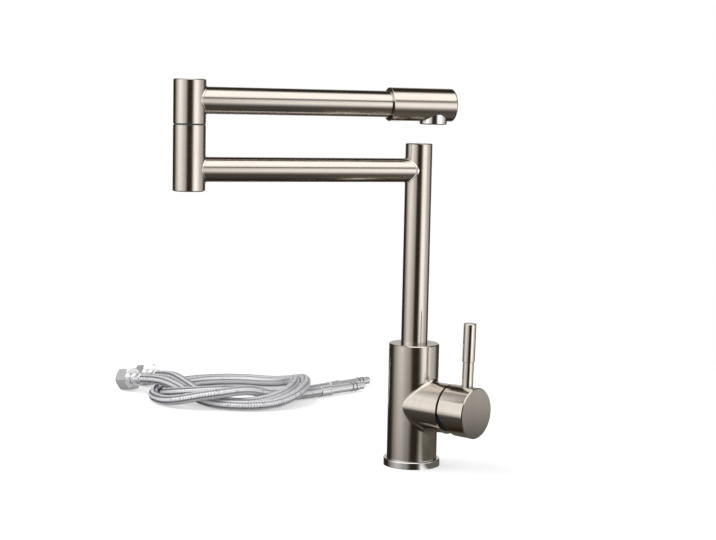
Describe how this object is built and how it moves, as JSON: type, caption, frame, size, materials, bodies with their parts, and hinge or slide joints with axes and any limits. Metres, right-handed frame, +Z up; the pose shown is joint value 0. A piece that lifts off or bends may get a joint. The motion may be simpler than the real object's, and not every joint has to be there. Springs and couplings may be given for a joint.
{
  "type": "pot filler tap",
  "caption": "Deck mounted folding pot filler: single side lever, swivelling riser, double swivel arm, aerator spout and loose braided supply hoses.",
  "frame": {"origin": "centre of the base flange's underside, on the deck", "axes": "+Z up along the riser, +X along the lever's cylinder, away from the body"},
  "size_m": [0.5561, 0.4991, 0.3559],
  "materials": {
    "brushed_nickel": "fine brushed warm nickel",
    "polished_chrome": "mirror polished",
    "braided_steel": "woven stainless braid",
    "screw_steel": "plain stainless",
    "turned_brass": "machined",
    "black_rubber": "moulded",
    "dark_plastic": "moulded",
    "grey_plastic": "moulded",
    "white_ceramic": "lapped alumina"
  },
  "bodies": {
    "tap_body": {"base_flange": "polished_chrome", "base_seal": "black_rubber", "body": "brushed_nickel", "inlet_block": "turned_brass", "riser_set_screw": "screw_steel", "thrust_washer": "dark_plastic", "cartridge_base": "grey_plastic", "port_seals": "black_rubber", "fixed_disc": "white_ceramic", "cartridge_housing": "grey_plastic", "cartridge_nut": "turned_brass", "cartridge_dome": "dark_plastic", "cold_hose": "braided_steel", "cold_nut_ferrule": "polished_chrome", "cold_nut_tail": "polished_chrome", "cold_nut": "polished_chrome", "cold_nut_washer": "black_rubber", "cold_spigot_ferrule": "polished_chrome", "cold_spigot": "polished_chrome", "cold_spigot_orings": "black_rubber", "hot_hose": "braided_steel", "hot_nut_ferrule": "polished_chrome", "hot_nut_tail": "polished_chrome", "hot_nut": "polished_chrome", "hot_nut_washer": "black_rubber", "hot_spigot_ferrule": "polished_chrome", "hot_spigot": "polished_chrome", "hot_spigot_orings": "black_rubber"},
    "mixer_rotor": {"rotor": "grey_plastic", "pivot_pin": "screw_steel"},
    "ceramic_slider": {"moving_disc": "white_ceramic", "disc_carrier": "dark_plastic"},
    "lever_handle": {"lever_stem": "turned_brass", "handle_cap": "brushed_nickel", "lever_rod": "brushed_nickel", "handle_screw": "screw_steel"},
    "riser_arm": {"riser_nipple": "turned_brass", "nipple_orings": "black_rubber", "slip_ring": "dark_plastic", "riser_tube": "brushed_nickel", "riser_cap": "brushed_nickel", "lower_arm_tube": "brushed_nickel", "lower_arm_welds": "brushed_nickel", "lower_post_tube": "brushed_nickel", "lower_post_cap": "brushed_nickel", "swivel_bush": "turned_brass", "swivel_washer": "dark_plastic"},
    "upper_spout": {"upper_post_tube": "brushed_nickel", "upper_post_cap": "brushed_nickel", "spindle_holder": "turned_brass", "spindle": "turned_brass", "spindle_orings": "black_rubber", "spindle_circlip": "screw_steel", "upper_arm_tube": "brushed_nickel", "upper_arm_weld": "brushed_nickel", "spout_sleeve": "brushed_nickel", "aerator_collar": "polished_chrome", "aerator_insert": "grey_plastic", "aerator_seal": "black_rubber"}
  },
  "joints": [
    {"name": "riser_swivel", "type": "hinge", "parent": "tap_body", "child": "riser_arm", "pos_m": [0, 0, 0.1], "axis": [0, 0, 1], "continuous": true},
    {"name": "spout_swivel", "type": "hinge", "parent": "riser_arm", "child": "upper_spout", "pos_m": [-0.10801, -0.19051, 0.3166], "axis": [0, 0, 1], "continuous": true},
    {"name": "temperature_turn", "type": "hinge", "parent": "tap_body", "child": "mixer_rotor", "pos_m": [0, 0, 0.0583], "axis": [1, 0, 0], "range_deg": [-45, 45]},
    {"name": "flow_tilt", "type": "hinge", "parent": "mixer_rotor", "child": "lever_handle", "pos_m": [0.037, 0, 0.0583], "axis": [0, 1, 0], "range_deg": [0, 20]},
    {"name": "disc_slide", "type": "slide", "parent": "mixer_rotor", "child": "ceramic_slider", "axis": [0, 0, 1], "range_m": [0, 0.00294]}
  ],
  "couplings": [
    {"joint": "disc_slide", "follows": "flow_tilt", "m_per_rad": 0.0084}
  ]
}
